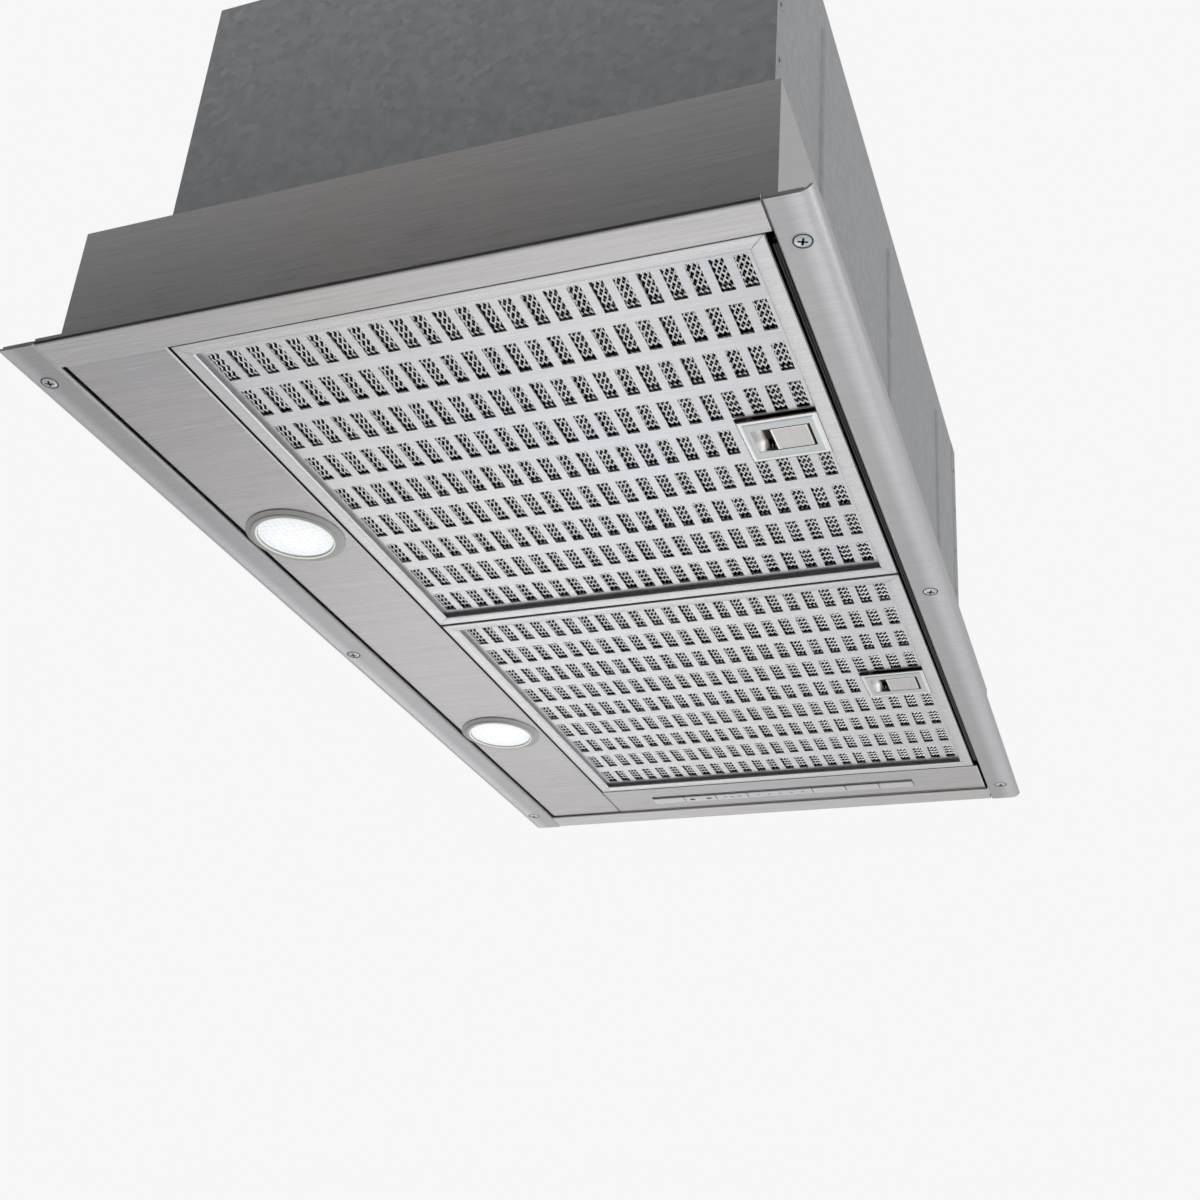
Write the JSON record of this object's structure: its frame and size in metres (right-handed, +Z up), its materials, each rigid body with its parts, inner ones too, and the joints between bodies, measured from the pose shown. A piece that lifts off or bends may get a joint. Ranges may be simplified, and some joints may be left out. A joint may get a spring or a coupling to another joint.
{
  "type": "integrated range hood",
  "caption": "Built-under stainless range hood with drop-down grease filters on latches, lamps, a key strip, a fan and a flap-closed duct collar.",
  "frame": {"origin": "middle of the cabinet's bottom face over the hood, between the four end screws", "axes": "+X along the hood to its control end, +Y to the wall, +Z up into the cabinet; the cooking side faces -Z"},
  "size_m": [0.58, 0.349, 0.2916],
  "materials": {
    "stainless": "brushed",
    "strip_steel": "fine brushed",
    "filter_steel": "satin",
    "mesh_metal": "expanded mesh",
    "galvanised": "spangled zinc",
    "zinc_screw": "blue zinc",
    "latch_nickel": "nickel satin",
    "spring_steel": "drawn wire",
    "seal_rubber": "matt",
    "key_metal": "satin silver",
    "lamp_ring": "smooth",
    "lamp_glass": "clear, lit from behind",
    "dark_plastic": "moulded",
    "grey_plastic": "moulded",
    "board": "circuit board",
    "fan_plastic": "moulded",
    "motor_metal": "cast",
    "capacitor_white": "can",
    "wire_white": "sheath"
  },
  "bodies": {
    "hood": {"body_pan": "stainless", "front_strip": "strip_steel", "rear_strip": "strip_steel", "strip_screws": "zinc_screw", "filter_ledge": "galvanised", "front_seal": "seal_rubber", "light_panel": "stainless", "control_panel": "stainless", "key_carrier": "dark_plastic", "control_board": "board", "level_display": "key_metal", "end_piece": "key_metal", "left_lamp_ring": "lamp_ring", "left_lamp_lens": "lamp_glass", "left_lamp_body": "dark_plastic", "right_lamp_ring": "lamp_ring", "right_lamp_lens": "lamp_glass", "right_lamp_body": "dark_plastic", "lamp_clips": "spring_steel", "blower_box": "galvanised", "box_screws": "zinc_screw", "scroll_left": "grey_plastic", "scroll_right": "grey_plastic", "motor": "motor_metal", "motor_bracket": "galvanised", "capacitor": "capacitor_white", "capacitor_strap": "spring_steel", "outlet_collar": "dark_plastic", "collar_screws": "zinc_screw", "damper_rod": "spring_steel", "electronics_box": "grey_plastic", "electronics_lid": "grey_plastic", "lid_screws": "zinc_screw", "cable_gland": "dark_plastic", "inner_wiring": "wire_white"},
    "left_filter": {"left_filter_frame": "filter_steel", "left_filter_face": "filter_steel", "left_filter_mesh": "mesh_metal", "left_filter_back": "filter_steel", "left_latch_plate": "latch_nickel", "left_latch_spring": "spring_steel"},
    "left_latch": {"left_latch_paddle": "latch_nickel"},
    "right_filter": {"right_filter_frame": "filter_steel", "right_filter_face": "filter_steel", "right_filter_mesh": "mesh_metal", "right_filter_back": "filter_steel", "right_latch_plate": "latch_nickel", "right_latch_spring": "spring_steel"},
    "right_latch": {"right_latch_paddle": "latch_nickel"},
    "fan_rotor": {"impeller": "fan_plastic", "fan_shaft": "spring_steel"},
    "front_flap": {"front_damper": "fan_plastic"},
    "rear_flap": {"rear_damper": "fan_plastic"},
    "light_key": {"light_key": "key_metal"},
    "timer_key": {"timer_key": "key_metal"},
    "slower_key": {"slower_key": "key_metal"},
    "faster_key": {"faster_key": "key_metal"},
    "boost_key": {"boost_key": "key_metal"}
  },
  "joints": [
    {"name": "left_filter_swing", "type": "hinge", "parent": "hood", "child": "left_filter", "pos_m": [-0.1457, 0.099, 0], "axis": [1, 0, 0], "range_deg": [0, 45]},
    {"name": "left_latch_slide", "type": "slide", "parent": "left_filter", "child": "left_latch", "axis": [0, 1, 0], "range_m": [0, 0.006], "stiffness_N_per_m": 250, "springref_m": -0.004, "deforming": ["left_latch_spring"]},
    {"name": "right_filter_swing", "type": "hinge", "parent": "hood", "child": "right_filter", "pos_m": [0.1081, 0.099, 0], "axis": [1, 0, 0], "range_deg": [0, 45]},
    {"name": "right_latch_slide", "type": "slide", "parent": "right_filter", "child": "right_latch", "axis": [0, 1, 0], "range_m": [0, 0.006], "stiffness_N_per_m": 250, "springref_m": -0.004, "deforming": ["right_latch_spring"]},
    {"name": "light_key_press", "type": "slide", "parent": "hood", "child": "light_key", "axis": [0, 0, 1], "range_m": [0, 0.001], "stiffness_N_per_m": 500, "springref_m": -0.001},
    {"name": "timer_key_press", "type": "slide", "parent": "hood", "child": "timer_key", "axis": [0, 0, 1], "range_m": [0, 0.001], "stiffness_N_per_m": 500, "springref_m": -0.001},
    {"name": "slower_key_press", "type": "slide", "parent": "hood", "child": "slower_key", "axis": [0, 0, 1], "range_m": [0, 0.001], "stiffness_N_per_m": 500, "springref_m": -0.001},
    {"name": "faster_key_press", "type": "slide", "parent": "hood", "child": "faster_key", "axis": [0, 0, 1], "range_m": [0, 0.001], "stiffness_N_per_m": 500, "springref_m": -0.001},
    {"name": "boost_key_press", "type": "slide", "parent": "hood", "child": "boost_key", "axis": [0, 0, 1], "range_m": [0, 0.001], "stiffness_N_per_m": 500, "springref_m": -0.001},
    {"name": "fan_spin", "type": "hinge", "parent": "hood", "child": "fan_rotor", "pos_m": [0, -0.04723, 0.125], "axis": [1, 0, 0], "continuous": true},
    {"name": "front_flap_swing", "type": "hinge", "parent": "hood", "child": "front_flap", "pos_m": [0, 0, 0.257], "axis": [-1, 0, 0], "range_deg": [0, 70]},
    {"name": "rear_flap_swing", "type": "hinge", "parent": "hood", "child": "rear_flap", "pos_m": [0, 0, 0.257], "axis": [1, 0, 0], "range_deg": [0, 70]}
  ]
}
